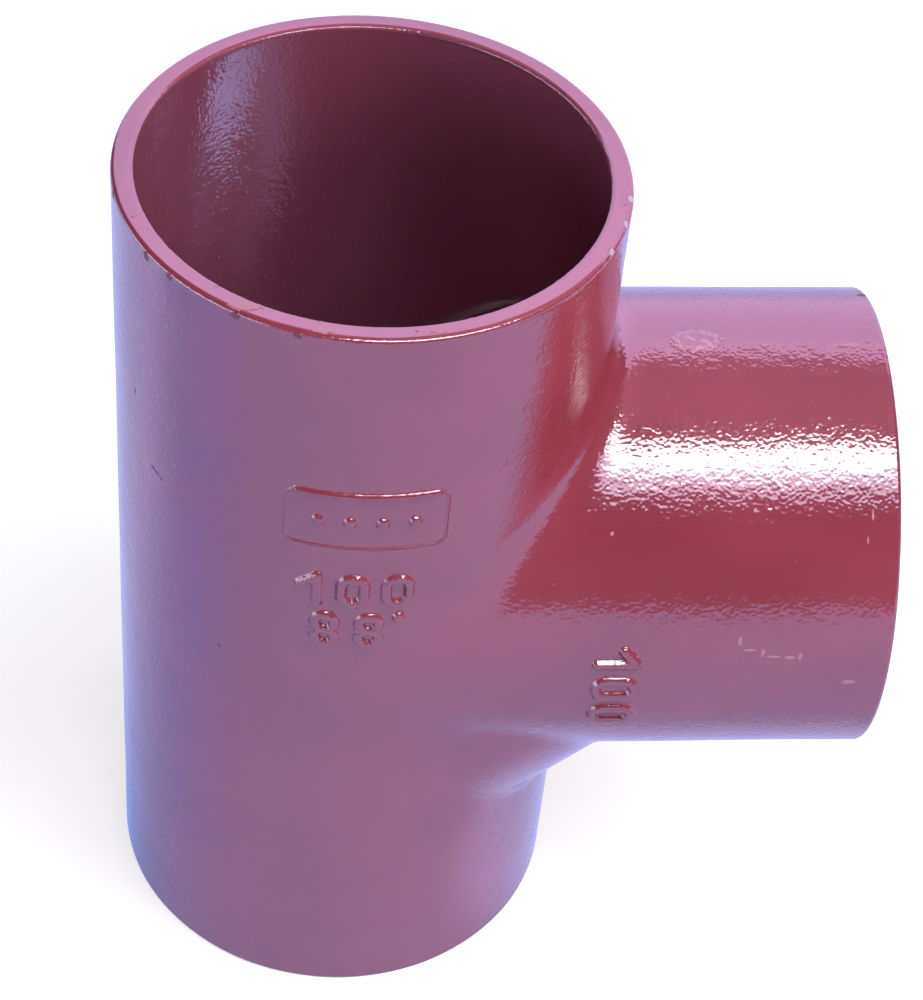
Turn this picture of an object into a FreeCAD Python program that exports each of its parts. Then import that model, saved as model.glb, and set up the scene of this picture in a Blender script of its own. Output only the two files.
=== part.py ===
import FreeCAD, Part
import os
from math import degrees

# A hubless cast-iron soil pipe branch: a straight run and an inlet of nearly the same size,
# with a 45 degree heel under the inlet that sweeps the flow into the run.
# Millimetres. +Z runs up the run and the inlet points towards +X.
# The origin is the centre of the run's lower end, on the run's axis.

DIMENSIONS = {
    # outside diameters, and the wall that all three pipes share
    "run_diameter": 111.5,
    "inlet_diameter": 110.0,
    "heel_diameter": 101.0,
    "wall_thickness": 5.0,
    # lengths from the crossing of the run's axis and the inlet's axis
    "upper_length": 106.0,
    "lower_length": 114.0,
    "inlet_length": 122.0,
    # angles from the run's upward direction, and how far below the corner the heel starts
    "inlet_angle": 88.0,
    "heel_angle": 45.0,
    "heel_leg": 14.4,
    # roundings of the casting
    "root_rounding": 8.0,
    "heel_rounding": 5.0,
    "bore_rounding": 4.0,
    "rim_rounding": 1.0,
    # raised figures, with their rows' levels measured above the inlet's axis
    "stroke_width": 1.9,
    "relief_height": 0.9,
    "figure_width": 7.0,
    "figure_pitch": 9.8,
    "flag_reach": 3.8,
    "flag_drop": 3.0,
    "size_figure_height": 9.7,
    "size_row_level": 33.0,
    "size_row_shift": -2.0,
    "angle_figure_height": 10.8,
    "angle_row_level": 20.3,
    "angle_row_shift": -2.9,
    "degree_dot_diameter": 2.5,
    "degree_dot_shift": 11.4,
    "inlet_figure_height": 11.0,
    "inlet_row_distance": 59.2,
    "inlet_row_shift": 1.0,
    # raised border with plain pips inside it
    "panel_width": 36.5,
    "panel_height": 17.0,
    "panel_corner": 3.0,
    "panel_level": 54.2,
    "panel_stroke": 1.4,
    "pip_diameter": 2.4,
    "pip_pitch": 7.0,
}

CASTING_LABEL = "branch_casting"
PIP_COUNT = 4
TOLERANCE = 0.01
SAMPLES_ALONG_EDGE = (0.2, 0.5, 0.8)


def dim(name):
    """Expression text for one value of the sheet."""
    return f"dimensions.{name}"


def placement(x="0", y="0", z="0", axis="0; 0; 1", angle="0"):
    """Expression text for a placement, from the texts of its place, axis and angle."""
    return f"placement(vector({x}; {y}; {z}); rotation(vector({axis}); {angle}))"


RUN_RADIUS = f"({dim('run_diameter')} / 2)"
INLET_RADIUS = f"({dim('inlet_diameter')} / 2)"
HEEL_RADIUS = f"({dim('heel_diameter')} / 2)"
INLET_ANGLE = dim("inlet_angle")
HEEL_ANGLE = dim("heel_angle")

# The inlet's underside meets the run's wall this far below the crossing of the axes.
CORNER_DROP = f"({INLET_RADIUS} / sin({INLET_ANGLE}) - {RUN_RADIUS} / tan({INLET_ANGLE}))"
# The heel's underside meets the run's wall one leg lower, and its axis runs beside that
# underside from the run's axis to the inlet's axis.
HEEL_DROP = (
    f"({CORNER_DROP} + {dim('heel_leg')} + {RUN_RADIUS} / tan({HEEL_ANGLE})"
    f" - {HEEL_RADIUS} / sin({HEEL_ANGLE}))"
)
HEEL_LENGTH = f"({HEEL_DROP} / (cos({HEEL_ANGLE}) - sin({HEEL_ANGLE}) / tan({INLET_ANGLE})))"

# Each pipe: radius, length along its own axis, and the placement of its start.
RUN = (RUN_RADIUS, f"{dim('lower_length')} + {dim('upper_length')}", placement())
INLET = (
    INLET_RADIUS,
    dim("inlet_length"),
    placement(z=dim("lower_length"), axis="0; 1; 0", angle=INLET_ANGLE),
)
HEEL = (
    HEEL_RADIUS,
    HEEL_LENGTH,
    placement(z=f"{dim('lower_length')} - {HEEL_DROP}", axis="0; 1; 0", angle=HEEL_ANGLE),
)


def make_sheet(doc):
    """The driving dimensions, one named cell each."""
    sheet = doc.addObject("Spreadsheet::Sheet", "dimensions")
    for row, (name, value) in enumerate(DIMENSIONS.items(), 1):
        sheet.set(f"A{row}", name)
        sheet.set(f"B{row}", str(value))
        sheet.setAlias(f"B{row}", name)
    doc.recompute()
    return sheet


def add_pipe(body, kind, name, pipe, inset="0"):
    """One solid cylinder, added to the casting or taken out of it as its bore."""
    radius, length, seat = pipe
    plane = next(item for item in body.Origin.OriginFeatures if item.Role == "XY_Plane")
    cylinder = body.newObject(kind, name)
    cylinder.AttachmentSupport = [(plane, "")]
    cylinder.MapMode = "FlatFace"
    cylinder.setExpression("Radius", f"{radius} - {inset}")
    cylinder.setExpression("Height", length)
    cylinder.setExpression("AttachmentOffset", seat)
    body.Document.recompute()
    return cylinder


def sample_points(edge):
    """A few points along an edge, away from its ends."""
    low, high = edge.ParameterRange
    return [edge.valueAt(low + share * (high - low)) for share in SAMPLES_ALONG_EDGE]


def axis_of(cylinder):
    """The start and the direction of a cylinder's axis."""
    placed = cylinder.Placement
    return placed.Base, placed.Rotation.multVec(FreeCAD.Vector(0, 0, 1))


def lies_on_wall(point, cylinder):
    """Whether a point lies on the round wall of a cylinder."""
    start, direction = axis_of(cylinder)
    distance = point.distanceToLine(start, direction)
    return abs(distance - cylinder.Radius.Value) < TOLERANCE


def lies_on_end(point, cylinder):
    """Whether a point lies in the plane of either end of a cylinder."""
    start, direction = axis_of(cylinder)
    along = (point - start).dot(direction)
    return abs(along) < TOLERANCE or abs(along - cylinder.Height.Value) < TOLERANCE


def is_seam(edge, first, second):
    """Whether an edge is a curve where the walls of two cylinders meet."""
    points = sample_points(edge)
    return all(lies_on_wall(point, first) and lies_on_wall(point, second) for point in points)


def is_rim(edge, cylinder):
    """Whether an edge runs round an open end of a cylinder."""
    return all(lies_on_end(point, cylinder) for point in sample_points(edge))


def add_rounding(body, name, radius, chosen):
    """A fillet on the chosen edges of the casting as it stands."""
    base = body.Tip
    edges = [f"Edge{number}" for number, edge in enumerate(base.Shape.Edges, 1) if chosen(edge)]
    rounding = body.newObject("PartDesign::Fillet", name)
    rounding.Base = (base, edges)
    rounding.setExpression("Radius", dim(radius))
    body.Document.recompute()


def make_casting(doc):
    """The plain casting: outer walls and their roundings, then the bores and the rims."""
    body = doc.addObject("PartDesign::Body", "Casting")
    wall = "PartDesign::AdditiveCylinder"
    run = add_pipe(body, wall, "RunWall", RUN)
    inlet = add_pipe(body, wall, "InletWall", INLET)
    heel = add_pipe(body, wall, "HeelWall", HEEL)
    add_rounding(body, "RootRounding", "root_rounding", lambda edge: is_seam(edge, run, inlet))
    add_rounding(
        body,
        "HeelRounding",
        "heel_rounding",
        lambda edge: is_seam(edge, run, heel) or is_seam(edge, inlet, heel),
    )

    bore = "PartDesign::SubtractiveCylinder"
    thickness = dim("wall_thickness")
    run_bore = add_pipe(body, bore, "RunBore", RUN, thickness)
    inlet_bore = add_pipe(body, bore, "InletBore", INLET, thickness)
    heel_bore = add_pipe(body, bore, "HeelBore", HEEL, thickness)
    add_rounding(
        body,
        "BoreRounding",
        "bore_rounding",
        lambda edge: is_seam(edge, run_bore, inlet_bore)
        or is_seam(edge, run_bore, heel_bore)
        or is_seam(edge, inlet_bore, heel_bore),
    )
    add_rounding(
        body,
        "RimRounding",
        "rim_rounding",
        lambda edge: is_rim(edge, run) or is_rim(edge, inlet),
    )
    return body


def upright_slot(width, height, depth):
    """A block with round ends above and below, centred on the origin in x and y."""
    straight = height - width
    slot = Part.makeBox(width, straight, depth, FreeCAD.Vector(-width / 2, -straight / 2, 0))
    for end in (-straight / 2, straight / 2):
        slot = slot.fuse(Part.makeCylinder(width / 2, depth, FreeCAD.Vector(0, end, 0)))
    return slot.removeSplitter()


def disc(diameter, depth, x=0.0, y=0.0):
    """A short round post."""
    return Part.makeCylinder(diameter / 2, depth, FreeCAD.Vector(x, y, 0))


def figure_zero(sheet, height, depth):
    """An upright oval ring."""
    inset = 2 * sheet.stroke_width
    outside = upright_slot(sheet.figure_width, height, depth)
    return outside.cut(upright_slot(sheet.figure_width - inset, height - inset, depth))


def figure_eight(sheet, height, depth):
    """Two rings that share a stroke where they meet."""
    stroke = sheet.stroke_width
    ring = (height + stroke) / 2
    rise = (height - ring) / 2
    outside = disc(ring, depth, y=rise).fuse(disc(ring, depth, y=-rise))
    inside = disc(ring - 2 * stroke, depth, y=rise).fuse(disc(ring - 2 * stroke, depth, y=-rise))
    return outside.cut(inside)


def figure_one(sheet, height, depth):
    """A stem with a flag that falls to the left."""
    stroke = sheet.stroke_width
    right = (sheet.flag_reach + stroke) / 2
    left = right - stroke
    top = height / 2
    outline = [
        (right, -top),
        (right, top),
        (left, top),
        (-right, top - sheet.flag_drop),
        (-right, top - sheet.flag_drop - stroke),
        (left, top - stroke),
        (left, -top),
        (right, -top),
    ]
    wire = Part.makePolygon([FreeCAD.Vector(x, y, 0) for x, y in outline])
    return Part.Face(wire).extrude(FreeCAD.Vector(0, 0, depth))


FIGURES = {"0": figure_zero, "1": figure_one, "8": figure_eight}


def rounded_block(width, height, corner, depth):
    """A block with rounded upright corners, centred on the origin in x and y."""
    block = Part.makeBox(width, height, depth, FreeCAD.Vector(-width / 2, -height / 2, 0))
    upright = [edge for edge in block.Edges if edge.BoundBox.ZLength > TOLERANCE]
    return block.makeFillet(corner, upright)


def panel_border(sheet, depth):
    """The raised border around the pips."""
    inset = 2 * sheet.panel_stroke
    outside = rounded_block(sheet.panel_width, sheet.panel_height, sheet.panel_corner, depth)
    inside = rounded_block(
        sheet.panel_width - inset,
        sheet.panel_height - inset,
        sheet.panel_corner - sheet.panel_stroke,
        depth,
    )
    return outside.cut(inside)


def stand_on_wall(block, radius, distance, shift):
    """Turn a block that lies flat so that it runs from a pipe's axis out through its wall.

    Its x then goes round the pipe, its y along the pipe, and its z outwards. The distance
    is along the pipe's axis and the shift is round its wall, from its front.
    """
    turned = FreeCAD.Rotation(FreeCAD.Vector(0, 0, 1), degrees(shift / radius))
    upright = FreeCAD.Rotation(FreeCAD.Vector(1, 0, 0), 90)
    block.Placement = FreeCAD.Placement(FreeCAD.Vector(0, 0, distance), turned * upright)
    return block


def figure_row(sheet, figures, height, radius, distance, shift):
    """Blocks for a row of figures whose middle is at the shift."""
    blocks = []
    for place, figure in enumerate(figures):
        along = shift + (place - (len(figures) - 1) / 2) * sheet.figure_pitch
        block = FIGURES[figure](sheet, height, 2 * radius)
        blocks.append(stand_on_wall(block, radius, distance, along))
    return blocks


def run_blocks(sheet):
    """Blocks for the run: the panel with its pips, the nominal size and the angle."""
    radius = sheet.run_diameter / 2
    level = sheet.lower_length
    panel_level = level + sheet.panel_level
    angle_level = level + sheet.angle_row_level
    dot_shift = sheet.angle_row_shift + sheet.degree_dot_shift
    dot_rise = (sheet.angle_figure_height - sheet.degree_dot_diameter) / 2
    dot = disc(sheet.degree_dot_diameter, 2 * radius, y=dot_rise)
    pips = [
        stand_on_wall(
            disc(sheet.pip_diameter, 2 * radius),
            radius,
            panel_level,
            (place - (PIP_COUNT - 1) / 2) * sheet.pip_pitch,
        )
        for place in range(PIP_COUNT)
    ]
    return [
        stand_on_wall(panel_border(sheet, 2 * radius), radius, panel_level, 0),
        stand_on_wall(dot, radius, angle_level, dot_shift),
        *pips,
        *figure_row(
            sheet,
            "100",
            sheet.size_figure_height,
            radius,
            level + sheet.size_row_level,
            sheet.size_row_shift,
        ),
        *figure_row(
            sheet,
            "88",
            sheet.angle_figure_height,
            radius,
            angle_level,
            sheet.angle_row_shift,
        ),
    ]


def inlet_blocks(sheet):
    """Blocks for the inlet: its nominal size, read downwards."""
    return figure_row(
        sheet,
        "100",
        sheet.inlet_figure_height,
        sheet.inlet_diameter / 2,
        sheet.inlet_row_distance,
        sheet.inlet_row_shift,
    )


def make_relief(doc, name, pipe, blocks):
    """Raised marks that follow a pipe's wall: the blocks, kept only near that wall."""
    radius, length, seat = pipe
    cylinders = []
    for layer, size in (
        ("Top", f"{radius} + {dim('relief_height')}"),
        ("Root", f"{radius} - {dim('wall_thickness')} / 2"),
    ):
        cylinder = doc.addObject("Part::Cylinder", f"{name}{layer}")
        cylinder.setExpression("Radius", size)
        cylinder.setExpression("Height", length)
        cylinder.setExpression("Placement", seat)
        cylinders.append(cylinder)
    layer = doc.addObject("Part::Cut", f"{name}Layer")
    layer.Base, layer.Tool = cylinders
    doc.recompute()

    block_feature = doc.addObject("Part::Feature", f"{name}Blocks")
    block_feature.Shape = Part.makeCompound(blocks)
    block_feature.Placement = cylinders[0].Placement
    relief = doc.addObject("Part::Common", name)
    relief.Base = block_feature
    relief.Tool = layer
    return relief


def check(doc, solid):
    """Stop if any object failed, or if the finished solid isn't one valid solid."""
    for item in doc.Objects:
        if "Invalid" in item.State or "Error" in item.State:
            raise RuntimeError(f"{item.Label} failed: {item.State}")
    if solid.Shape.isNull() or not solid.Shape.isValid():
        raise RuntimeError(f"{solid.Label} has no valid shape")
    if len(solid.Shape.Solids) != 1:
        raise RuntimeError(f"{solid.Label} is {len(solid.Shape.Solids)} solids, not one")


def main():
    """Build the casting and write its one solid."""
    doc = FreeCAD.newDocument("soil_pipe_branch")
    sheet = make_sheet(doc)
    casting = make_casting(doc)
    run_relief = make_relief(doc, "RunRelief", RUN, run_blocks(sheet))
    inlet_relief = make_relief(doc, "InletRelief", INLET, inlet_blocks(sheet))
    whole = doc.addObject("Part::MultiFuse", "WholeCasting")
    whole.Shapes = [casting, run_relief, inlet_relief]
    whole.Label = CASTING_LABEL
    doc.recompute()
    check(doc, whole)
    os.makedirs("parts", exist_ok=True)
    whole.Shape.exportStep(os.path.join("parts", f"{whole.Label}.step"))
    print(whole.Label, "volume", round(whole.Shape.Volume), "mm3")


main()
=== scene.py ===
import logging
import math
from collections.abc import Callable, Sequence
from dataclasses import dataclass, field, replace
from enum import Enum
from functools import cached_property

import bpy
import numpy as np
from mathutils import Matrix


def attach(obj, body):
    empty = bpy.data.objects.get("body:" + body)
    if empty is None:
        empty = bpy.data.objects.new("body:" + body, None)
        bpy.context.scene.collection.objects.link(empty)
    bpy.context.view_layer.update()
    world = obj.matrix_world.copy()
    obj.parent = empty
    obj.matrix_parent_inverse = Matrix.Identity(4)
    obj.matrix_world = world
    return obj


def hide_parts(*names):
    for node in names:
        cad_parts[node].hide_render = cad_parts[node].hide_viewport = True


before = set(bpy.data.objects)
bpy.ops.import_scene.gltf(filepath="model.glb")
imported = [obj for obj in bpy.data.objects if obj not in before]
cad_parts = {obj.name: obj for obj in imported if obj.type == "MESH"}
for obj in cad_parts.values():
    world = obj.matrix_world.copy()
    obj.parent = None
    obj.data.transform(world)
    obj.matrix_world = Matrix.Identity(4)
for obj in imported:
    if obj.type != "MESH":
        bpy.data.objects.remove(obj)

# A hubless cast-iron soil pipe branch in red gloss paint, standing in its studio.
# Metres. +Z runs up the run, the inlet points towards +X, and the raised figures face -Y.

MM = 0.001
TINY = 1e-9
WHITE = (1.0, 1.0, 1.0, 1.0)
LOG = logging.getLogger("branch")
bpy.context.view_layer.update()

Points = np.ndarray
Values = np.ndarray
Span = tuple[float, float]
Place = tuple[float, float, float]
Rgb = tuple[float, float, float]
Rgba = tuple[float, float, float, float]


def smooth_step(values: Values) -> Values:
    """Ease values from 0 to 1 with level ends."""
    held = np.clip(values, 0.0, 1.0)
    return held * held * (3.0 - 2.0 * held)


def rounded_most(first: Values, second: Values, radius: float) -> Values:
    """Intersect two forms that meet square, with a round edge.

    Args:
        first: Distances out of one form.
        second: Distances out of the other.
        radius: Radius of the edge.

    Returns:
        Distances out of both.
    """
    inside = np.minimum(np.maximum(first, second), -radius)
    out_first = np.maximum(first + radius, 0.0)
    out_second = np.maximum(second + radius, 0.0)
    return np.where(
        (first > -radius) & (second > -radius),
        np.hypot(out_first, out_second) - radius,
        np.maximum(inside, np.maximum(first, second)),
    )


class Closing(Enum):
    """Where a pipe's form stops along its axis."""

    NOWHERE = 0
    AT_START = 1
    AT_BOTH = 2


@dataclass(frozen=True)
class Pipe:
    """A round pipe along an axis that leans from +Z towards +X."""

    radius: float
    start_height: float
    lean: float
    length: float
    closing: Closing

    @property
    def direction(self) -> Points:
        """The unit vector along the axis."""
        return np.array([math.sin(self.lean), 0.0, math.cos(self.lean)])

    @property
    def start(self) -> Points:
        """Where the axis starts."""
        return np.array([0.0, 0.0, self.start_height])

    def along(self, points: Points) -> Values:
        """How far each point is along the axis."""
        return (points - self.start) @ self.direction

    def around(self, points: Points) -> Values:
        """The arc of each point round the wall, from the front."""
        side = np.array([math.cos(self.lean), 0.0, -math.sin(self.lean)])
        return self.radius * np.arctan2((points - self.start) @ side, -points[:, 1])

    def distance(self, points: Points) -> tuple[Values, Points]:
        """Measure how far points lie out of the pipe.

        Args:
            points: Places to measure, one a row.

        Returns:
            The distances, and the direction in which each grows.
        """
        offset = points - self.start
        along = offset @ self.direction
        radial = offset - np.outer(along, self.direction)
        reach = np.maximum(np.linalg.norm(radial, axis=1), TINY)
        wall = reach - self.radius
        past = np.zeros(len(points))
        if self.closing is not Closing.NOWHERE:
            past = np.maximum(past, -along)
        if self.closing is Closing.AT_BOTH:
            past = np.maximum(past, along - self.length)
        value = np.where(past > 0.0, np.hypot(np.maximum(wall, 0.0), past), wall)
        return value, radial / reach[:, None]

    def inset(self, depth: float) -> "Pipe":
        """A pipe on the same axis, whose wall lies this much further in."""
        return replace(self, radius=self.radius - depth)


@dataclass(frozen=True)
class Stroke:
    """One raised line or ring on a wall, as a distance from its middle line."""

    reach: Callable[[Values, Values], Values]
    width: float


def line_stroke(start: Span, end: Span, width: float) -> Stroke:
    """A straight raised line.

    Args:
        start: Arc and level of one end.
        end: Arc and level of the other.
        width: Width of the line.

    Returns:
        The stroke.
    """
    head, tail = np.array(start), np.array(end)
    run = tail - head
    square = float(run @ run)

    def reach(arc: Values, level: Values) -> Values:
        """Distance from the line."""
        share = ((arc - head[0]) * run[0] + (level - head[1]) * run[1]) / square
        share = np.clip(share, 0.0, 1.0)
        return np.hypot(arc - head[0] - share * run[0], level - head[1] - share * run[1])

    return Stroke(reach, width)


def oval_stroke(centre: Span, half_width: float, half_height: float, width: float) -> Stroke:
    """A raised ring: a circle stretched upright by a straight middle part.

    Args:
        centre: Arc and level of the middle.
        half_width: Half the width of its middle line.
        half_height: Half the height of its middle line.
        width: Width of the line.

    Returns:
        The stroke.
    """
    straight = half_height - half_width

    def reach(arc: Values, level: Values) -> Values:
        """Distance from the ring."""
        rise = np.maximum(np.abs(level - centre[1]) - straight, 0.0)
        return np.abs(np.hypot(arc - centre[0], rise) - half_width)

    return Stroke(reach, width)


def frame_stroke(centre: Span, size: Span, corner: float, width: float) -> Stroke:
    """A raised border with round corners.

    Args:
        centre: Arc and level of the middle.
        size: Width and height of its middle line.
        corner: Radius of its corners.
        width: Width of the line.

    Returns:
        The stroke.
    """

    def reach(arc: Values, level: Values) -> Values:
        """Distance from the border."""
        across = np.abs(arc - centre[0]) - size[0] / 2 + corner
        upright = np.abs(level - centre[1]) - size[1] / 2 + corner
        outer = np.hypot(np.maximum(across, 0.0), np.maximum(upright, 0.0))
        return np.abs(outer + np.minimum(np.maximum(across, upright), 0.0) - corner)

    return Stroke(reach, width)


def dot_stroke(centre: Span, diameter: float) -> Stroke:
    """A raised round dot.

    Args:
        centre: Arc and level of the middle.
        diameter: How wide it is.

    Returns:
        The stroke.
    """

    def reach(arc: Values, level: Values) -> Values:
        """Distance from the dot's middle."""
        return np.hypot(arc - centre[0], level - centre[1])

    return Stroke(reach, diameter)


@dataclass(frozen=True)
class FigureRow:
    """A row of figures: what it reads, its height, and the arc and level of its middle."""

    reads: str
    height: float
    arc: float
    level: float


@dataclass(frozen=True)
class FigureStyle:
    """How the cast figures are drawn."""

    stroke: float = 2.0 * MM
    width: float = 7.1 * MM
    pitch: float = 9.8 * MM
    flag_reach: float = 3.8 * MM
    flag_drop: float = 3.0 * MM

    def row(self, row: FigureRow, base: float = 0.0) -> list[Stroke]:
        """Draw a row of figures.

        Args:
            row: The row, which reads only 0, 1 and 8.
            base: The level that the row's own is measured from.

        Returns:
            The strokes of all its figures.
        """
        strokes: list[Stroke] = []
        for place, figure in enumerate(row.reads):
            middle = row.arc + (place - (len(row.reads) - 1) / 2) * self.pitch
            strokes += self.figure(figure, row.height, middle, base + row.level)
        return strokes

    def figure(self, figure: str, height: float, arc: float, level: float) -> list[Stroke]:
        """Draw one figure.

        Args:
            figure: Which one, of 0, 1 and 8.
            height: Its height.
            arc: Where its middle is round the wall.
            level: Where its middle is along the wall.

        Returns:
            Its strokes.
        """
        half = (height - self.stroke) / 2
        if figure == "0":
            wide = (self.width - self.stroke) / 2
            return [oval_stroke((arc, level), wide, half, self.stroke)]
        if figure == "8":
            ring = half / 2
            return [
                oval_stroke((arc, level + side * ring), ring, ring, self.stroke)
                for side in (1, -1)
            ]
        stem, top = arc + self.flag_reach / 2, level + half
        flag_end = (stem - self.flag_reach, top - self.flag_drop)
        return [
            line_stroke((stem, level - half), (stem, top), self.stroke),
            line_stroke((stem, top), flag_end, self.stroke),
        ]


@dataclass(frozen=True)
class MarkLayout:
    """The raised marks. The run's levels are measured from the inlet's axis."""

    border_level: float = 54.2 * MM
    border_size: Span = (35.1 * MM, 15.6 * MM)
    border_corner: float = 2.3 * MM
    border_width: float = 0.1 * MM
    bar_rise: float = 7.8 * MM
    bar_reach: float = 15.2 * MM
    bar_width: float = 1.1 * MM
    pip_count: int = 4
    pip_pitch: float = 7.0 * MM
    pip_size: float = 2.4 * MM
    run_size: FigureRow = FigureRow("100", 9.7 * MM, -2.0 * MM, 33.0 * MM)
    run_angle: FigureRow = FigureRow("88", 10.8 * MM, -2.9 * MM, 20.3 * MM)
    degree_arc: float = 8.5 * MM
    degree_level: float = 24.45 * MM
    degree_size: float = 2.5 * MM
    inlet_size: FigureRow = FigureRow("100", 11.0 * MM, 1.0 * MM, 59.2 * MM)
    style: FigureStyle = FigureStyle()

    def on_run(self, axis_level: float) -> list[Stroke]:
        """Lay the run's marks out.

        Args:
            axis_level: Level of the inlet's axis on the run.

        Returns:
            The strokes of the border with its bar and pips, the figures and the degree sign.
        """
        panel = axis_level + self.border_level
        bar = panel + self.bar_rise
        first_pip = (1 - self.pip_count) / 2 * self.pip_pitch
        pips = [first_pip + place * self.pip_pitch for place in range(self.pip_count)]
        return [
            frame_stroke((0.0, panel), self.border_size, self.border_corner, self.border_width),
            line_stroke((-self.bar_reach, bar), (self.bar_reach, bar), self.bar_width),
            *[dot_stroke((arc, panel), self.pip_size) for arc in pips],
            *self.style.row(self.run_size, axis_level),
            *self.style.row(self.run_angle, axis_level),
            dot_stroke((self.degree_arc, axis_level + self.degree_level), self.degree_size),
        ]

    def on_inlet(self) -> list[Stroke]:
        """Lay the inlet's figures out."""
        return self.style.row(self.inlet_size)


@dataclass
class CastForm:
    """The true surface of the casting, as the distance of any point out of its iron."""

    run: Pipe = Pipe(55.75 * MM, 0.0, 0.0, 220 * MM, Closing.NOWHERE)
    inlet: Pipe = Pipe(55.0 * MM, 114 * MM, math.radians(88), 122 * MM, Closing.AT_START)
    heel: Pipe = Pipe(50.5 * MM, 62.18 * MM, math.radians(45), 75.94 * MM, Closing.AT_BOTH)
    wall: float = 5.0 * MM
    root_blend: float = 9.0 * MM
    heel_blend: float = 4.5 * MM
    bore_blend: float = 4.5 * MM
    rim_rounding: float = 1.2 * MM
    relief: float = 1.1 * MM
    relief_softness: float = 0.43 * MM
    marks_start: float = 42 * MM
    wave_height: float = 0.045 * MM
    wave_lengths: Span = (16 * MM, 44 * MM)
    wave_count: int = 18
    wave_seed: int = 7
    slope_step: float = 0.02 * MM
    settle_rounds: int = 6
    longest_step: float = 1.5 * MM
    least_steepness: float = 0.25
    least_turn: float = 1e-8
    layout: MarkLayout = MarkLayout()
    run_marks: list[Stroke] = field(init=False)
    inlet_marks: list[Stroke] = field(init=False)

    def __post_init__(self) -> None:
        """Lay the raised marks out on the two walls."""
        self.run_marks = self.layout.on_run(self.inlet.start_height)
        self.inlet_marks = self.layout.on_inlet()

    def blend(
        self, first: tuple[Values, Points], second: tuple[Values, Points], size: float
    ) -> tuple[Values, Points]:
        """Join two forms with a hollow rounding, as wide where they meet at a shallow angle.

        Args:
            first: Distances out of one form, and their directions.
            second: The same for the other.
            size: How far the rounding reaches where the two meet square.

        Returns:
            Distances out of the joined form, and their directions.
        """
        likeness = np.clip(np.sum(first[1] * second[1], axis=1), -1.0, 1.0)
        reach = size * np.sqrt(np.maximum(1.0 - likeness, self.least_turn))
        overlap = np.maximum(reach - np.abs(first[0] - second[0]), 0.0) / reach
        value = np.minimum(first[0], second[0]) - overlap * overlap * reach / 4.0
        share = np.clip(0.5 + (second[0] - first[0]) / (2.0 * reach), 0.0, 1.0)[:, None]
        mixed = first[1] * share + second[1] * (1.0 - share)
        return value, mixed / np.linalg.norm(mixed, axis=1)[:, None]

    def outside(self, points: Points) -> Values:
        """Distances out of the plain outer form."""
        return self.joined(points, 0.0, self.root_blend, self.heel_blend)

    def bores(self, points: Points) -> Values:
        """Distances out of the space inside the pipes."""
        return self.joined(points, self.wall, self.bore_blend, self.bore_blend)

    def joined(self, points: Points, inset: float, root: float, bend: float) -> Values:
        """Measure the three pipes as one form.

        Args:
            points: Places to measure, one a row.
            inset: How far inside their walls.
            root: Size of the rounding between run and inlet.
            bend: Size of the rounding round the heel.

        Returns:
            Distances out of the form.
        """
        run, inlet, heel = (
            pipe.inset(inset).distance(points) for pipe in (self.run, self.inlet, self.heel)
        )
        return self.blend(self.blend(run, inlet, root), heel, bend)[0]

    def mark_reach(self, points: Points) -> Values:
        """Measure round the walls to the raised marks.

        Args:
            points: Places to measure, one a row.

        Returns:
            How far each is from the edge of the nearest mark, less than none on the mark.
        """
        nearest = np.full(len(points), 1.0)
        beyond = self.inlet.along(points) > self.marks_start
        for pipe, marks, chosen in (
            (self.run, self.run_marks, ~beyond),
            (self.inlet, self.inlet_marks, beyond),
        ):
            arc, level = pipe.around(points), pipe.along(points)
            on_wall = chosen & (points[:, 1] < 0.0)
            for mark in marks:
                gap = mark.reach(arc, level) - mark.width / 2
                nearest = np.where(on_wall, np.minimum(nearest, gap), nearest)
        return nearest

    def waves(self, points: Points) -> Values:
        """Give the foundry's slight unevenness: many faint waves that cross at all angles.

        Args:
            points: Places to measure, one a row.

        Returns:
            How far each stands out, as a share of the waves' height.
        """
        draw = np.random.default_rng(self.wave_seed)
        total = np.zeros(len(points))
        for _ in range(self.wave_count):
            direction = draw.normal(size=3)
            length = draw.uniform(*self.wave_lengths)
            turn = draw.uniform(0.0, 2.0 * math.pi)
            steps = points @ (direction / np.linalg.norm(direction))
            share = length / self.wave_lengths[1]
            total += share * np.sin(2.0 * math.pi / length * steps + turn)
        return total * math.sqrt(2.0 / self.wave_count)

    def height(self, points: Points) -> Values:
        """How far the marks and the foundry's slight waves stand out of the plain form."""
        share = 0.5 - self.mark_reach(points) / (2.0 * self.relief_softness)
        return self.relief * smooth_step(share) + self.wave_height * self.waves(points)

    def ends(self, points: Points) -> Values:
        """Distances beyond the flat ends of the run and the inlet."""
        run_end = np.maximum(-points[:, 2], points[:, 2] - self.run.length)
        return np.maximum(run_end, self.inlet.along(points) - self.inlet.length)

    def distance(self, points: Points) -> Values:
        """Measure the finished casting.

        Args:
            points: Places to measure, one a row.

        Returns:
            Distances out of its iron.
        """
        outer = self.outside(points) - self.height(points)
        trimmed = rounded_most(outer, self.ends(points), self.rim_rounding)
        return rounded_most(trimmed, -self.bores(points), self.rim_rounding)

    def slope(self, points: Points) -> Points:
        """Find the direction in which the distance grows.

        Args:
            points: Places to measure, one a row.

        Returns:
            The direction at each, as long as the distance is steep.
        """
        slopes = np.empty_like(points)
        for axis in range(3):
            offset = np.zeros(3)
            offset[axis] = self.slope_step
            ahead, behind = self.distance(points + offset), self.distance(points - offset)
            slopes[:, axis] = (ahead - behind) / (2.0 * self.slope_step)
        return slopes

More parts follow.
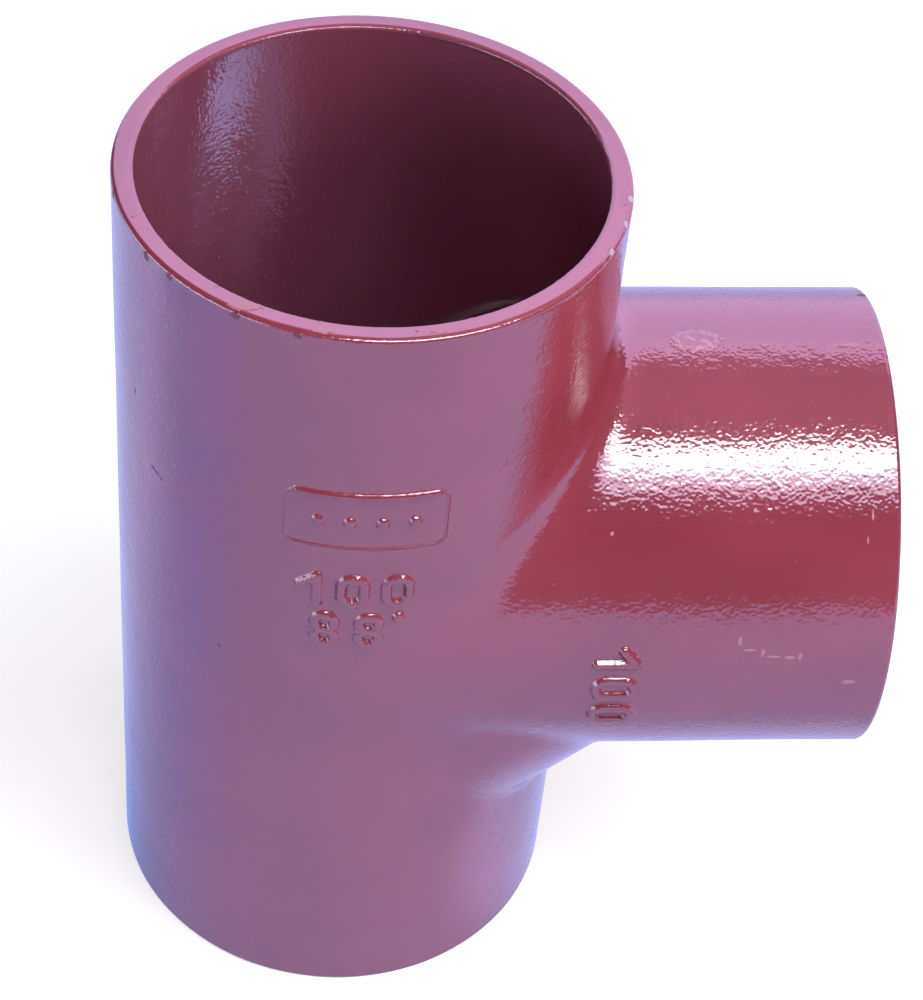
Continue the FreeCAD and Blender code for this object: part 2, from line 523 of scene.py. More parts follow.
    def settle(self, points: Points) -> tuple[Points, Points]:
        """Move points onto the true surface, closer in each round.

        Args:
            points: Places near the surface.

        Returns:
            Their new places, and the outward directions there.
        """
        placed = points.copy()
        for _ in range(self.settle_rounds):
            slope = self.slope(placed)
            steepness = np.maximum(np.sum(slope * slope, axis=1), self.least_steepness)
            step = (self.distance(placed) / steepness)[:, None] * slope
            reach = np.linalg.norm(step, axis=1)[:, None]
            placed -= step * np.minimum(1.0, self.longest_step / np.maximum(reach, TINY))
        slope = self.slope(placed)
        return placed, slope / np.maximum(np.linalg.norm(slope, axis=1), TINY)[:, None]


class Cut(Enum):
    """How one solid acts on another."""

    JOIN = "UNION"
    BORE = "DIFFERENCE"


class Shop:
    """The hand operations that the pieces are made with."""

    bar_edge_share: float = 0.9

    @staticmethod
    def clear() -> None:
        """Leave nothing selected, so that an operator acts on its own piece alone."""
        bpy.ops.object.select_all(action="DESELECT")

    @staticmethod
    def edit(piece: bpy.types.Object, edges: Callable[[Points, Points], Values]) -> None:
        """Open a piece for editing with chosen edges selected.

        Args:
            piece: The piece.
            edges: Picks edges from the places of their two ends.
        """
        bpy.context.view_layer.objects.active = piece
        bpy.context.tool_settings.mesh_select_mode = (False, True, False)
        bpy.ops.object.mode_set(mode="EDIT")
        bpy.ops.mesh.select_all(action="DESELECT")
        bpy.ops.object.mode_set(mode="OBJECT")
        mesh = piece.data
        places = np.empty(len(mesh.vertices) * 3)
        mesh.vertices.foreach_get("co", places)
        places = places.reshape(-1, 3)
        ends = np.empty(len(mesh.edges) * 2, dtype=np.int64)
        mesh.edges.foreach_get("vertices", ends)
        ends = ends.reshape(-1, 2)
        mesh.edges.foreach_set("select", edges(places[ends[:, 0]], places[ends[:, 1]]))
        bpy.ops.object.mode_set(mode="EDIT")

    @staticmethod
    def done() -> None:
        """Close the edit."""
        bpy.ops.object.mode_set(mode="OBJECT")

    @classmethod
    def solid_pipe(
        cls, name: str, pipe: Pipe, cell: float, sides: int, overrun: Span = (0.0, 0.0)
    ) -> bpy.types.Object:
        """Make a closed round bar of even rows.

        Args:
            name: Name of the piece.
            pipe: Its radius, place and length.
            cell: Height of a row.
            sides: Faces in a row.
            overrun: How far it goes on past its start and its end.

        Returns:
            The bar.
        """
        length = pipe.length + sum(overrun)
        centre = pipe.start + pipe.direction * (pipe.length - overrun[0] + overrun[1]) / 2
        cls.clear()
        bpy.ops.mesh.primitive_cylinder_add(
            vertices=sides,
            radius=pipe.radius,
            depth=length,
            location=tuple(centre),
            rotation=(0.0, pipe.lean, 0.0),
        )
        piece = bpy.context.object
        piece.name = name
        bpy.ops.object.transform_apply(location=True, rotation=True, scale=True)
        longest = cls.bar_edge_share * length
        cls.edit(piece, lambda start, end: np.linalg.norm(end - start, axis=1) > longest)
        bpy.ops.mesh.subdivide(number_cuts=max(1, round(length / cell) - 1))
        cls.done()
        return piece

    @staticmethod
    def combine(piece: bpy.types.Object, other: bpy.types.Object, cut: Cut) -> None:
        """Join another solid to a piece or bore it out.

        Args:
            piece: The piece.
            other: The other solid, which is used up.
            cut: Which of the two is done.
        """
        modifier = piece.modifiers.new(cut.name.title(), "BOOLEAN")
        modifier.operation = cut.value
        modifier.object = other
        modifier.solver = "EXACT"
        bpy.context.view_layer.objects.active = piece
        bpy.ops.object.modifier_apply(modifier=modifier.name)
        bpy.data.objects.remove(other)


@dataclass
class BranchCasting:
    """The branch itself: run, inlet and heel cast in one."""

    form: CastForm = field(default_factory=CastForm)
    name: str = "cast_branch"
    sides: int = 192
    wall_cell: float = 1.8 * MM
    bore_cell: float = 3.2 * MM
    overrun: float = 10 * MM
    rim_segments: int = 4
    rim_level_reach: float = 0.02 * MM
    rim_wall_reach: float = 0.03 * MM
    rim_merge: float = 0.3 * MM
    seam_reach: float = 2.5 * MM
    seam_merge: float = 0.8 * MM
    seam_smoothing: float = 0.5
    seam_rounds: int = 4
    mark_margin: float = 1.5 * MM
    mark_wall_reach: float = 1.0 * MM
    mark_cuts: int = 5

    def build(self) -> bpy.types.Object:
        """Model the casting.

        Returns:
            The finished piece.
        """
        piece = self.rough_out()
        self.round_rims(piece)
        self.even_out(piece)
        self.refine_marks(piece)
        self.settle(piece)
        return piece

    def rough_out(self) -> bpy.types.Object:
        """Join the three bars and bore them out.

        Returns:
            The piece, with sharp edges.
        """
        form = self.form
        piece = Shop.solid_pipe(self.name, form.run, self.wall_cell, self.sides)
        for name, pipe in (("inlet_bar", form.inlet), ("heel_bar", form.heel)):
            bar = Shop.solid_pipe(name, pipe, self.wall_cell, self.sides)
            Shop.combine(piece, bar, Cut.JOIN)
        for name, pipe, overrun in (
            ("run_drill", form.run, (self.overrun, self.overrun)),
            ("inlet_drill", form.inlet, (0.0, self.overrun)),
            ("heel_drill", form.heel, (0.0, 0.0)),
        ):
            drill = Shop.solid_pipe(
                name, pipe.inset(form.wall), self.bore_cell, self.sides, overrun
            )
            Shop.combine(piece, drill, Cut.BORE)
        return piece

    def round_rims(self, piece: bpy.types.Object) -> None:
        """Bevel the edges of the three open ends.

        Args:
            piece: The bored piece.
        """
        form = self.form

        def on_rim(first: Points, second: Points) -> Values:
            """Pick the sharp edges of the open ends.

            Args:
                first: Where each edge starts.
                second: Where each ends.

            Returns:
                Whether both its ends lie on the same sharp edge.
            """
            flags = []
            for points in (first, second):
                level = np.abs(form.ends(points)) < self.rim_level_reach
                outer = np.abs(form.outside(points)) < self.rim_wall_reach
                inner = np.abs(form.bores(points)) < self.rim_wall_reach
                flags.append((level & outer, level & inner))
            return (flags[0][0] & flags[1][0]) | (flags[0][1] & flags[1][1])

        Shop.edit(piece, on_rim)
        bpy.ops.mesh.bevel(
            offset=form.rim_rounding, segments=self.rim_segments, profile=0.5, affect="EDGES"
        )
        bpy.ops.mesh.select_all(action="SELECT")
        bpy.ops.mesh.remove_doubles(threshold=self.rim_merge)
        Shop.done()

    def even_out(self, piece: bpy.types.Object) -> None:
        """Merge and spread the points where the pipes meet, so that no face folds over.

        Args:
            piece: The bored piece.
        """
        form = self.form

        def on_seam(first: Points, second: Points) -> Values:
            """Pick the edges along the seams between the pipes.

            Args:
                first: Where each edge starts.
                second: Where each ends.

            Returns:
                Whether both its ends lie close to where two of the pipes meet.
            """
            near = np.ones(len(first), dtype=bool)
            for points in (first, second):
                close = np.zeros(len(first), dtype=bool)
                for inset in (0.0, form.wall):
                    run, inlet, heel = (
                        np.abs(pipe.inset(inset).distance(points)[0]) < self.seam_reach
                        for pipe in (form.run, form.inlet, form.heel)
                    )
                    close |= (run & inlet) | (run & heel) | (inlet & heel)
                near &= close & (form.ends(points) < -self.seam_reach)
            return near

        Shop.edit(piece, on_seam)
        bpy.ops.mesh.remove_doubles(threshold=self.seam_merge)
        bpy.ops.mesh.vertices_smooth(factor=self.seam_smoothing, repeat=self.seam_rounds)
        Shop.done()

    def refine_marks(self, piece: bpy.types.Object) -> None:
        """Make the mesh finer around the raised marks.

        Args:
            piece: The bored piece.
        """
        form = self.form

        def near_mark(first: Points, second: Points) -> Values:
            """Pick the edges beside the marks on the outer wall.

            Args:
                first: Where each edge starts.
                second: Where each ends.

            Returns:
                Whether its middle lies beside a mark.
            """
            middle = (first + second) / 2
            on_wall = np.abs(form.outside(middle)) < self.mark_wall_reach
            return on_wall & (form.mark_reach(middle) < self.mark_margin)

        Shop.edit(piece, near_mark)
        bpy.ops.mesh.subdivide(number_cuts=self.mark_cuts)
        Shop.done()

    def settle(self, piece: bpy.types.Object) -> None:
        """Lay every point on the true surface and shade the piece by its true slope.

        Args:
            piece: The piece with its fine mesh.
        """
        mesh = piece.data
        places = np.empty(len(mesh.vertices) * 3)
        mesh.vertices.foreach_get("co", places)
        placed, outward = self.form.settle(places.reshape(-1, 3))
        mesh.vertices.foreach_set("co", placed.ravel())
        mesh.update()
        mesh.polygons.foreach_set("use_smooth", np.ones(len(mesh.polygons), dtype=bool))
        mesh.normals_split_custom_set_from_vertices(outward.tolist())
        mesh.update()


class Wire:
    """One output of a shader node, which takes part in ordinary sums."""

    def __init__(self, nodes: "Nodes", socket: bpy.types.NodeSocket) -> None:
        """Wrap a socket of a node tree."""
        self.nodes = nodes
        self.socket = socket

    def _sum(self, operation: str, *values: "Wire | float") -> "Wire":
        """Add a Math node for one step of a sum."""
        return self.nodes.make(
            "ShaderNodeMath", {"operation": operation}, dict(enumerate(values)), "Value"
        )

    def __add__(self, other: "Wire | float") -> "Wire":
        """This plus another."""
        return self._sum("ADD", self, other)

    def __radd__(self, other: float) -> "Wire":
        """A number plus this."""
        return self._sum("ADD", other, self)

    def __sub__(self, other: "Wire | float") -> "Wire":
        """This less another."""
        return self._sum("SUBTRACT", self, other)

    def __rsub__(self, other: float) -> "Wire":
        """A number less this."""
        return self._sum("SUBTRACT", other, self)

    def __mul__(self, other: "Wire | float") -> "Wire":
        """This times another."""
        return self._sum("MULTIPLY", self, other)

    def __rmul__(self, other: float) -> "Wire":
        """A number times this."""
        return self._sum("MULTIPLY", other, self)

    def most(self, other: "Wire | float") -> "Wire":
        """The larger of this and another."""
        return self._sum("MAXIMUM", self, other)

    def least(self, other: "Wire | float") -> "Wire":
        """The smaller of this and another."""
        return self._sum("MINIMUM", self, other)

    def across(self, other: "Wire") -> "Wire":
        """The length of the arrow with this and another as its two parts."""
        return self._sum("SQRT", self * self + other * other)

    def eased(self, low: float, high: float, start: float = 0.0, end: float = 1.0) -> "Wire":
        """Ease this from one range to another, held at the ends.

        Args:
            low: Where it starts to change.
            high: Where it stops.
            start: Its value up to low.
            end: Its value from high on.

        Returns:
            The eased value.
        """
        return self.nodes.make(
            "ShaderNodeMapRange",
            {"interpolation_type": "SMOOTHSTEP"},
            {"Value": self, "From Min": low, "From Max": high, "To Min": start, "To Max": end},
            "Result",
        )


class Nodes:
    """The node tree of a finish or of the room."""

    def __init__(self, owner: bpy.types.Material | bpy.types.World) -> None:
        """Start an empty tree on a material or a world."""
        owner.use_nodes = True
        self.tree = owner.node_tree
        self.tree.nodes.clear()

    def node(
        self, kind: str, settings: dict[str, object], inputs: dict[object, object]
    ) -> bpy.types.Node:
        """Add a node.

        Args:
            kind: Its type.
            settings: Its own settings, which are set first.
            inputs: A wire or a value for each of its sockets, by name or place.

        Returns:
            The node.
        """
        made = self.tree.nodes.new(kind)
        for key, value in settings.items():
            setattr(made, key, value)
        for key, value in inputs.items():
            if isinstance(value, Wire):
                self.tree.links.new(value.socket, made.inputs[key])
            else:
                made.inputs[key].default_value = value
        return made

    def make(
        self,
        kind: str,
        settings: dict[str, object],
        inputs: dict[object, object],
        output: str | int,
    ) -> Wire:
        """Add a node and take one of its outputs, by name or place."""
        return Wire(self, self.node(kind, settings, inputs).outputs[output])

    @cached_property
    def place(self) -> Wire:
        """The point on the piece, in its own metres."""
        return self.make("ShaderNodeTexCoord", {}, {}, "Object")

    @cached_property
    def axes(self) -> tuple[Wire, ...]:
        """The three parts of the point on the piece."""
        split = self.node("ShaderNodeSeparateXYZ", {}, {0: self.place})
        return tuple(Wire(self, output) for output in split.outputs)

    def noise(self, scale: float, detail: float = 0.0) -> Wire:
        """Cloudy values from 0 to 1, with this many clouds in a metre."""
        inputs = {"Vector": self.place, "Scale": scale, "Detail": detail}
        return self.make("ShaderNodeTexNoise", {}, inputs, "Fac")

    def away(self, centre: Place, size: Place) -> Wire:
        """Measure how far each point is from a centre.

        Args:
            centre: The centre.
            size: What counts as a distance of 1 along each axis.

        Returns:
            The distance.
        """
        stretch = tuple(1.0 / reach for reach in size)
        offset = tuple(-middle / reach for middle, reach in zip(centre, size))
        kind, inputs = "ShaderNodeVectorMath", {0: self.place, 1: stretch, 2: offset}
        share = self.make(kind, {"operation": "MULTIPLY_ADD"}, inputs, "Vector")
        return self.make(kind, {"operation": "LENGTH"}, {0: share}, "Value")

    def mix(self, share: Wire, first: Wire | Rgba, second: Wire | Rgba) -> Wire:
        """Mix two colours."""
        inputs = {0: share, 6: first, 7: second}
        return self.make("ShaderNodeMix", {"data_type": "RGBA"}, inputs, 2)

    def fade(self, share: Wire, first: Wire, second: Wire) -> Wire:
        """Mix two shaders."""
        return self.make("ShaderNodeMixShader", {}, {0: share, 1: first, 2: second}, 0)

    def shine(self, tint: Rgba, strength: float) -> Wire:
        """Light of its own."""
        return self.make("ShaderNodeEmission", {}, {"Color": tint, "Strength": strength}, 0)

    def ray(self, kind: str) -> Wire:
        """Whether the surface is met by this kind of ray, as 0 or 1."""
        return self.make("ShaderNodeLightPath", {}, {}, kind)


@dataclass(frozen=True)
class Blemish:
    """One mark of handling: its centre, and how far it reaches along each axis."""

    centre: Place
    size: Place

    @classmethod
    def at(cls, *lengths: float) -> "Blemish":
        """Place one by its centre and then its reach, all in millimetres."""
        metres = tuple(length * MM for length in lengths)
        return cls(metres[:3], metres[3:])


@dataclass(frozen=True)
class Wear:
    """Where each kind of wear shows in the paint, each from 0 to 1."""

    chip: Wire
    scuff: Wire
    speck: Wire
    burr: Wire
    blister: Wire
    ring: Wire
    flake: Wire


@dataclass(frozen=True)
class RedGlossPaint:
    """Red oxide gloss over cast iron, dipped and a little knocked about, with painted shade and
    bluish reflection inside its bore.
    """

    deep: Rgba = (0.240, 0.034, 0.052, 1.0)
    bright: Rgba = (0.268, 0.040, 0.062, 1.0)
    # Painted shade and bluish reflection inside the bore: a darker, bluer red than the paint
    # outside.
    bore_painted_shade_and_reflection: Rgba = (0.215, 0.052, 0.092, 1.0)
    chipped: Rgba = (0.40, 0.37, 0.42, 1.0)
    scuffed: Rgba = (0.60, 0.30, 0.34, 1.0)
    dark: Rgba = (0.06, 0.012, 0.018, 1.0)
    refraction: float = 2.4
    gloss: float = 0.10
    cloud_dulling: float = 0.05
    worn_dulling: float = 0.3
    dark_dulling: float = 0.7
    scuff_share: float = 0.36
    ring_share: float = 0.5
    flake_share: float = 0.4
    chip_share: float = 0.85
    speck_share: float = 0.9
    burr_share: float = 0.5
    # Clouds in a metre.
    grain_scale: float = 900.0
    cloud_scale: float = 26.0
    flake_scale: float = 420.0
    pebble_scale: float = 1250.0
    peel_scale: float = 520.0
    swell_scale: float = 110.0
    grit_scale: float = 430.0
    # Heights in the bump, as shares of its depth.
    bump_depth: float = 0.16 * MM
    pebble_rise: float = 0.5
    peel_rise: float = 0.45
    swell_rise: float = 0.9
    grit_rise: float = 0.4
    edge_rise: float = 0.7
    scuff_rise: float = 0.4
    blister_rise: float = 1.2
    burr_rise: float = 3.0
    chip_drop: float = 1.5
    run_calm: float = 0.72
    rim_calm: float = 0.12
    # Where one thing gives way to the next: on the casting, or in the values of a noise.
    cloud_edge: Span = (0.35, 0.65)
    grit_edge: Span = (0.79, 0.87)
    flake_edge: Span = (0.52, 0.62)
    mark_edge: Span = (0.6, 1.0)
    mark_raggedness: float = 0.9
    blister_edge: Span = (0.7, 1.0)
    blister_raggedness: float = 0.7
    ring_edge: Span = (0.55, 0.85)
    inlet_start: Span = (42 * MM, 62 * MM)
    rim_edge: Span = (218.4 * MM, 219.0 * MM)
    rim_top: Span = (219.5 * MM, 219.9 * MM)
    # Where the painted shade and bluish reflection inside the bore fade in, from the walls and
    # from the closed ends.
    painted_bore_shade_edge: Span = (0.1 * MM, 0.7 * MM)
    painted_bore_shade_start: float = 5.0 * MM
    painted_bore_shade_end: float = 8.0 * MM
    chips: Sequence[Blemish] = (
        Blemish.at(54.5, -8.0, 219.6, 0.9, 1.6, 0.8),
        Blemish.at(52.8, -16.5, 219.6, 0.9, 1.4, 0.7),
        Blemish.at(48.8, -25.8, 219.6, 1.0, 1.1, 0.7),
    )
    scuffs: Sequence[Blemish] = (
        Blemish.at(-27.0, -46.2, 220.0, 4.5, 1.8, 0.5),
        Blemish.at(-11.0, -53.0, 220.0, 2.6, 0.9, 0.5),
        Blemish.at(12.0, -52.2, 220.0, 1.6, 0.7, 0.5),
        Blemish.at(111.9, 0.0, 173.0, 2.6, 0.9, 1.0),
        Blemish.at(86.2, -53.4, 130.3, 0.6, 1.2, 1.3),
        Blemish.at(88.8, -53.9, 128.0, 2.0, 1.2, 0.5),
        Blemish.at(91.8, -54.1, 127.3, 0.5, 1.2, 1.5),
        Blemish.at(94.4, -54.3, 126.2, 2.4, 1.2, 0.5),
        Blemish.at(98.1, -54.4, 126.1, 1.6, 1.2, 0.6),
        Blemish.at(100.4, -54.3, 126.4, 0.6, 1.2, 1.2),
        Blemish.at(112.8, -55.0, 118.8, 2.2, 1.2, 0.9),
        Blemish.at(113.9, -38.8, 157.0, 0.3, 1.4, 1.4),
        Blemish.at(113.0, -42.5, 152.8, 0.3, 1.1, 1.1),
        Blemish.at(91.8, 0.0, 172.2, 1.2, 0.8, 1.0),
        Blemish.at(55.5, -41.6, 152.0, 0.5, 0.6, 0.5),
    )
    specks: Sequence[Blemish] = (
        Blemish.at(-46.3, -31.7, 159.4, 1.1, 1.3, 0.5),
        Blemish.at(-45.4, -33.0, 159.0, 1.1, 1.3, 0.5),
        Blemish.at(-44.5, -34.3, 158.5, 1.0, 1.2, 0.4),
        Blemish.at(118.8, 23.7, 167.9, 1.6, 1.4, 1.4),
        Blemish.at(-50.0, -24.7, 176.0, 0.6, 0.6, 0.8),
        Blemish.at(-31.0, -46.3, 118.0, 0.6, 0.6, 0.7),
    )
    burrs: Sequence[Blemish] = (
        Blemish.at(-54.8, -10.8, 218.6, 1.0, 1.3, 1.0),
        Blemish.at(-47.2, -30.0, 218.4, 1.2, 1.2, 1.2),
        Blemish.at(-42.4, -36.4, 218.6, 1.2, 1.0, 1.0),
        Blemish.at(-28.7, -47.9, 218.7, 1.6, 1.0, 0.9),
        Blemish.at(-16.0, -53.4, 218.8, 1.2, 0.8, 0.7),
    )
    blister: Blemish = Blemish.at(76.2, 1.5, 171.7, 6.6, 4.4, 3.5)

    def dress(self, piece: bpy.types.Object) -> None:
        """Give the paint to a piece.

        Args:
            piece: The piece, which carries nothing else afterwards.
        """
        material = bpy.data.materials.new("red_gloss_paint")
        nodes = Nodes(material)
        grain = nodes.noise(self.grain_scale, 1.0)
        clouds = nodes.noise(self.cloud_scale, 2.0)
        wear = self.wear(nodes, grain)
        inputs = {
            "Base Color": self.colour(nodes, clouds, wear),
            "Roughness": self.roughness(clouds, wear),
            "IOR": self.refraction,
            "Normal": self.bump(nodes, grain, wear),
        }
        shader = nodes.make("ShaderNodeBsdfPrincipled", {}, inputs, 0)
        nodes.node("ShaderNodeOutputMaterial", {}, {0: shader})
        piece.data.materials.clear()
        piece.data.materials.append(material)

    def wear(self, nodes: Nodes, grain: Wire) -> Wear:
        """Lay out all the wear.

        Args:
            nodes: The finish's nodes.
            grain: Fine noise that breaks the edges up.

        Returns:
            Where each kind shows.
        """
        chip, scuff, speck, burr = (
            self.worn(nodes, grain, marks)
            for marks in (self.chips, self.scuffs, self.specks, self.burrs)
        )
        edge = nodes.away(self.blister.centre, self.blister.size)
        edge = edge + (grain - 0.5) * self.blister_raggedness
        blister = edge.eased(*self.blister_edge, 1.0, 0.0)
        ring = blister * edge.eased(*self.ring_edge)
        flake = blister * nodes.noise(self.flake_scale).eased(*self.flake_edge)
        return Wear(chip, scuff, speck, burr, blister, ring, flake)

    def worn(self, nodes: Nodes, grain: Wire, marks: Sequence[Blemish]) -> Wire:
        """Lay out one kind of wear.

        Args:
            nodes: The finish's nodes.
            grain: Fine noise that breaks the marks' edges up.
            marks: The marks.

        Returns:
            Where it shows, from 0 to 1.
        """
        nearest, *others = (nodes.away(mark.centre, mark.size) for mark in marks)
        for reach in others:
            nearest = nearest.least(reach)
        ragged = nearest + (grain - 0.5) * self.mark_raggedness
        return ragged.eased(*self.mark_edge, 1.0, 0.0)

    def colour(self, nodes: Nodes, clouds: Wire, wear: Wear) -> Wire:
        """Mix the paint's colour, with painted shade and bluish reflection inside the bore.

        Args:
            nodes: The finish's nodes.
            clouds: Broad noise.
            wear: Where the wear shows.

        Returns:
            The colour.
        """
        scuffed = (wear.scuff * self.scuff_share).most(wear.ring * self.ring_share)
        scuffed = scuffed.most(wear.flake * self.flake_share)
        dark = (wear.speck * self.speck_share).most(wear.burr * self.burr_share)
        colour = nodes.mix(clouds.eased(*self.cloud_edge), self.deep, self.bright)
        # Paint shade and bluish reflection into the colour inside the bore.
        colour = nodes.mix(self.inside(*nodes.axes), colour, self.bore_painted_shade_and_reflection)
        colour = nodes.mix(scuffed, colour, self.scuffed)
        colour = nodes.mix(wear.chip * self.chip_share, colour, self.chipped)
        return nodes.mix(dark, colour, self.dark)

    def roughness(self, clouds: Wire, wear: Wear) -> Wire:
        """Dull the gloss.

        Args:
            clouds: Broad noise.
            wear: Where the wear shows.

        Returns:
            The roughness.
        """
        worn = wear.chip.most(wear.scuff) * self.worn_dulling
        dark = wear.speck.most(wear.burr) * self.dark_dulling
        return self.gloss + clouds * self.cloud_dulling + worn.most(dark)

    def bump(self, nodes: Nodes, grain: Wire, wear: Wear) -> Wire:
        """Raise the paint's skin: pebbly over a slow swell, and calmer on the run and its rim.

        Args:
            nodes: The finish's nodes.
            grain: Fine noise.
            wear: Where the wear shows.

        Returns:
            The bumped normal.
        """
        x, _, z = nodes.axes
        off_rim = z.eased(*self.rim_top, 1.0, self.rim_calm)
        calm = x.eased(*self.inlet_start, self.run_calm, 1.0) * off_rim
        rough_edge = z.eased(*self.rim_edge) * off_rim * grain
        pebbles = nodes.noise(self.pebble_scale) * self.pebble_rise
        peel = nodes.noise(self.peel_scale) * self.peel_rise
        swell = nodes.noise(self.swell_scale, 1.0) * self.swell_rise
        grit = nodes.noise(self.grit_scale).eased(*self.grit_edge) * self.grit_rise
        height = (pebbles + peel) * calm + rough_edge * self.edge_rise + swell + grit
        height = height + wear.scuff * self.scuff_rise + wear.blister * self.blister_rise
        height = height + wear.burr * self.burr_rise - wear.chip * self.chip_drop
        inputs = {"Strength": 1.0, "Distance": self.bump_depth, "Height": height}
        return nodes.make("ShaderNodeBump", {}, inputs, "Normal")

    def inside(self, x: Wire, y: Wire, z: Wire) -> Wire:
        """Find where the painted shade and bluish reflection go: on the paint inside the pipes.

        Args:
            x: Place along the inlet.
            y: Place across the casting.
            z: Place up the run.

        Returns:
            Where it lies, from 0 to 1.
        """
        form = CastForm()
        shares = []
        for pipe in (form.run, form.inlet, form.heel):
            near, far = (pipe.radius - form.wall + reach for reach in self.painted_bore_shade_edge)
            up = z - pipe.start_height
            sideways = x * math.cos(pipe.lean) - up * math.sin(pipe.lean)
            along = x * math.sin(pipe.lean) + up * math.cos(pipe.lean)
            within = sideways.across(y).eased(near, far, 1.0, 0.0)
            if pipe.closing is not Closing.NOWHERE:
                within = within * along.eased(0.0, self.painted_bore_shade_start)
            if pipe.closing is Closing.AT_BOTH:
                fading = pipe.length - self.painted_bore_shade_end
                within = within * along.eased(fading, pipe.length, 1.0, 0.0)
            shares.append(within)
        run, inlet, heel = shares
        return run.most(inlet).most(heel)


@dataclass(frozen=True)
class StudioFloor:
    """A pale floor that keeps the shadow, reads white to the camera and cool in the gloss."""

    tone: Rgba = (0.62, 0.63, 0.66, 1.0)
    lift: float = 0.62
    white_reach: Span = (0.25, 0.90)
    shade_reach: float = 53 * MM
    shade_edge: float = 1.0 * MM
    cool: Rgba = (0.36, 0.54, 1.0, 1.0)
    cool_glow: float = 1.0
    blue: Rgba = (0.22, 0.42, 1.0, 1.0)
    blue_glow: float = 1.25
    board: Rgba = (0.46, 0.54, 1.0, 1.0)
    board_glow: float = 1.5
    # Where the cool floor turns blue, left of the run, along a line that leans by this much.
    blue_lean: float = 0.7
    blue_across: Span = (-0.05, 0.07)
    blue_side: Span = (-0.06, -0.02)
    # Where it turns to the pale board: further left and back, and under the inlet.
    board_side: Span = (-0.075, -0.035)
    board_across: Span = (-0.05, 0.08)
    inlet_side: Span = (0.03, 0.06)
    inlet_across: Span = (-0.075, -0.035)

    def dress(self, floor: bpy.types.Object) -> None:
        """Give the floor its finish.

        Args:
            floor: The floor.
        """
        material = bpy.data.materials.new("studio_floor")
        nodes = Nodes(material)
        reach = nodes.away((0.0, 0.0, 0.0), (1.0, 1.0, 1.0))
        open_floor = reach.eased(self.shade_reach - self.shade_edge, self.shade_reach)
        matt = nodes.make("ShaderNodeBsdfDiffuse", {}, {"Color": self.tone}, 0)
        lift = nodes.shine(WHITE, self.lift)
        near = nodes.make("ShaderNodeAddShader", {}, {0: matt, 1: lift}, 0)
        seen = nodes.fade(reach.eased(*self.white_reach), near, nodes.shine(WHITE, 1.0))
        shader = nodes.fade(nodes.ray("Is Camera Ray") * open_floor, matt, seen)
        mirrored = self.mirrored(nodes)
        shader = nodes.fade(nodes.ray("Is Glossy Ray") * open_floor, shader, mirrored)
        nodes.node("ShaderNodeOutputMaterial", {}, {0: shader})
        floor.data.materials.append(material)

    def mirrored(self, nodes: Nodes) -> Wire:
        """Light the floor as the paint's gloss shows it.

        Args:
            nodes: The finish's nodes.

        Returns:
            The light.
        """
        x, y, _ = nodes.axes
        left = (y - x * self.blue_lean).eased(*self.blue_across)
        left = left * x.eased(*self.blue_side, 1.0, 0.0)
        behind = x.eased(*self.board_side, 1.0, 0.0) * y.eased(*self.board_across)
        under_inlet = x.eased(*self.inlet_side) * y.eased(*self.inlet_across)
        cool = nodes.shine(self.cool, self.cool_glow)
        blue = nodes.shine(self.blue, self.blue_glow)
        board = nodes.shine(self.board, self.board_glow)
        return nodes.fade(behind.most(under_inlet), nodes.fade(left, cool, blue), board)


@dataclass(frozen=True)
class Lamp:
    """A soft box: its place, size and strength, and what of the paint shows it."""

    name: str
    place: Place
    size: Span
    power: float
    colour: Rgb = (1.0, 0.98, 0.98)
    aim: Place = (0.03, 0.0, 0.11)
    in_gloss: bool = True
    in_matt: bool = True


# The overhead boxes face this place beyond the inlet, so their edges lie along it.
BEYOND: Place = (0.44, 0.0, 0.11)


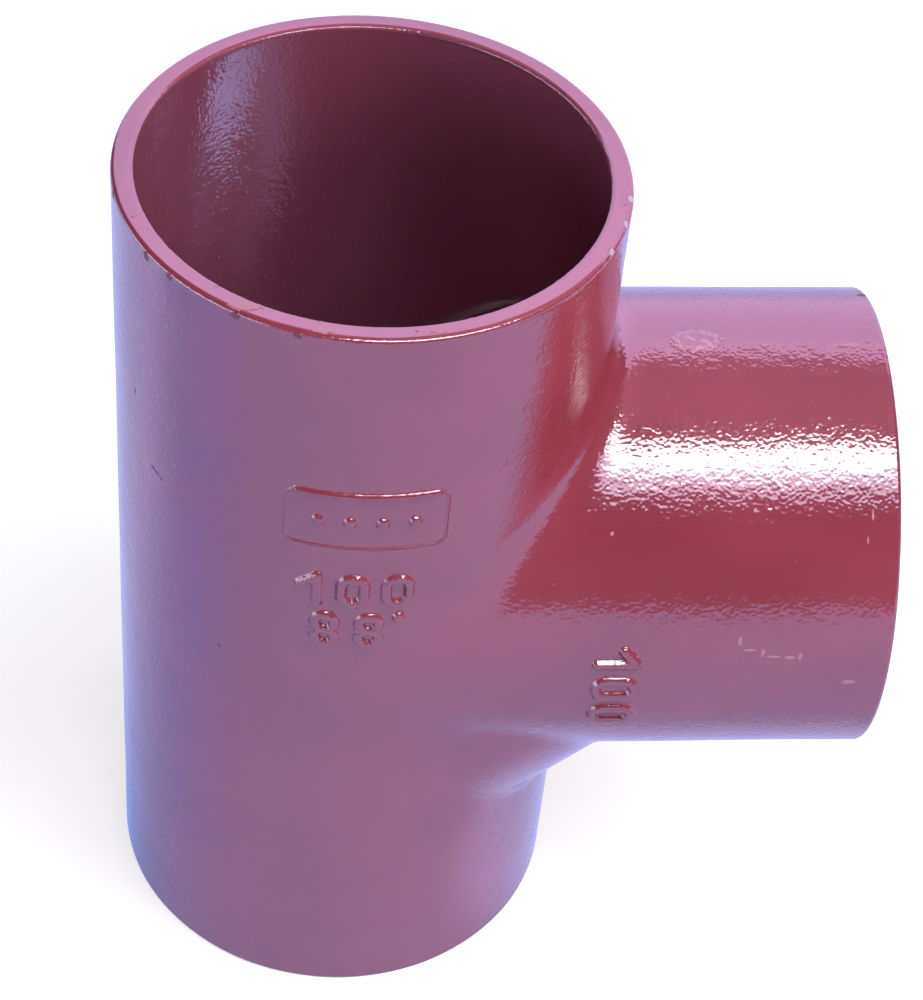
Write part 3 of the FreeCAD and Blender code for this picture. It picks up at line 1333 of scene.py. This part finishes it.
@dataclass
class Studio:
    """A plain pale floor, soft boxes, and the camera."""

    floor: StudioFloor = StudioFloor()
    floor_size: float = 6.0
    fill: float = 0.07
    fill_in_gloss: float = 0.08
    gloss_tint: Rgba = (0.60, 0.50, 1.0, 1.0)
    lamps: Sequence[Lamp] = (
        Lamp("overhead_box", (0.44, -0.37, 1.26), (1.0, 0.3), 8.5, (0.98, 0.95, 1.0), BEYOND),
        Lamp("overhead_skirt", (0.44, -0.62, 1.2), (1.0, 0.26), 2.3, (0.86, 0.74, 1.0), BEYOND),
        Lamp("ceiling", (0.4, 0.55, 1.55), (1.8, 1.3), 3.8, (1.0, 0.44, 0.66), in_matt=False),
        Lamp("back_box", (0.35, 1.7, 0.9), (2.9, 1.85), 32, (0.74, 0.54, 0.96), in_matt=False),
        Lamp("key_box", (1.2, -0.3, 1.3), (1.3, 1.1), 19.0, in_gloss=False),
        Lamp("front_box", (0.25, -1.6, 0.4), (2.0, 0.8), 13.0, in_gloss=False),
        Lamp("back_fill", (0.2, 1.6, 0.5), (2.4, 1.0), 12.0, in_gloss=False),
        Lamp("left_box", (-1.6, -0.3, 0.3), (2.6, 0.58), 12.0, (0.84, 0.82, 1.0)),
    )
    camera_place: Place = (-0.02591303, -0.44842040, 0.57120482)
    camera_turn: Sequence[float] = (0.92537232, 0.37658173, -0.04289437, -0.00568803)
    lens: float = 95.5267
    shift: Span = (-0.00542, 0.02170)
    clip: Span = (0.01, 50.0)

    def build(self) -> None:
        """Set the whole studio up."""
        self.lay_floor()
        self.light_room()
        for lamp in self.lamps:
            self.hang(lamp)
        self.set_camera()

    def lay_floor(self) -> None:
        """Lay the floor that the casting stands on."""
        Shop.clear()
        bpy.ops.mesh.primitive_plane_add(size=self.floor_size, location=(0.0, 0.0, 0.0))
        floor = bpy.context.object
        floor.name = "studio_floor"
        self.floor.dress(floor)

    def light_room(self) -> None:
        """Fill the room with even light, and show it white to the camera."""
        world = bpy.data.worlds.new("studio_room")
        bpy.context.scene.world = world
        nodes = Nodes(world)
        plain, in_gloss, seen = (
            nodes.make("ShaderNodeBackground", {}, {"Color": tint, "Strength": strength}, 0)
            for tint, strength in (
                (WHITE, self.fill),
                (self.gloss_tint, self.fill_in_gloss),
                (WHITE, 1.0),
            )
        )
        light = nodes.fade(nodes.ray("Is Glossy Ray"), plain, in_gloss)
        light = nodes.fade(nodes.ray("Is Camera Ray"), light, seen)
        nodes.node("ShaderNodeOutputWorld", {}, {0: light})

    def hang(self, lamp: Lamp) -> None:
        """Hang a soft box, turned towards its aim.

        Args:
            lamp: The soft box.
        """
        Shop.clear()
        bpy.ops.object.light_add(type="AREA", location=lamp.place)
        box = bpy.context.object
        box.name = lamp.name
        box.data.shape = "RECTANGLE"
        box.data.size, box.data.size_y = lamp.size
        box.data.energy = lamp.power
        box.data.color = lamp.colour
        box.visible_glossy = lamp.in_gloss
        box.visible_diffuse = lamp.in_matt
        box.visible_camera = False
        towards = np.array(lamp.aim) - np.array(lamp.place)
        flat = math.hypot(towards[0], towards[1])
        tilt = math.atan2(flat, -towards[2])
        box.rotation_euler = (tilt, 0.0, math.atan2(towards[1], towards[0]) - math.pi / 2)

    def set_camera(self) -> None:
        """Put the camera where the photograph was taken from."""
        Shop.clear()
        bpy.ops.object.camera_add(location=self.camera_place)
        camera = bpy.context.object
        camera.name = "photo_camera"
        camera.rotation_mode = "QUATERNION"
        camera.rotation_quaternion = self.camera_turn
        camera.data.lens = self.lens
        camera.data.shift_x, camera.data.shift_y = self.shift
        camera.data.clip_start, camera.data.clip_end = self.clip
        bpy.context.scene.camera = camera


def report(piece: bpy.types.Object) -> None:
    """Say how fine a finished piece is.

    Args:
        piece: The piece.
    """
    faces = piece.data.polygons
    triangles = sum(len(face.vertices) - 2 for face in faces)
    LOG.info("%s: %d faces, %d triangles", piece.name, len(faces), triangles)


def main() -> None:
    """Build the casting and its studio."""
    logging.basicConfig(level=logging.INFO, format="%(name)s: %(message)s")
    bpy.context.scene.view_settings.view_transform = "Standard"
    casting = BranchCasting().build()
    RedGlossPaint().dress(casting)
    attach(casting, "root")
    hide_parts("branch_casting")
    report(casting)
    Studio().build()


if __name__ == "__main__":
    main()
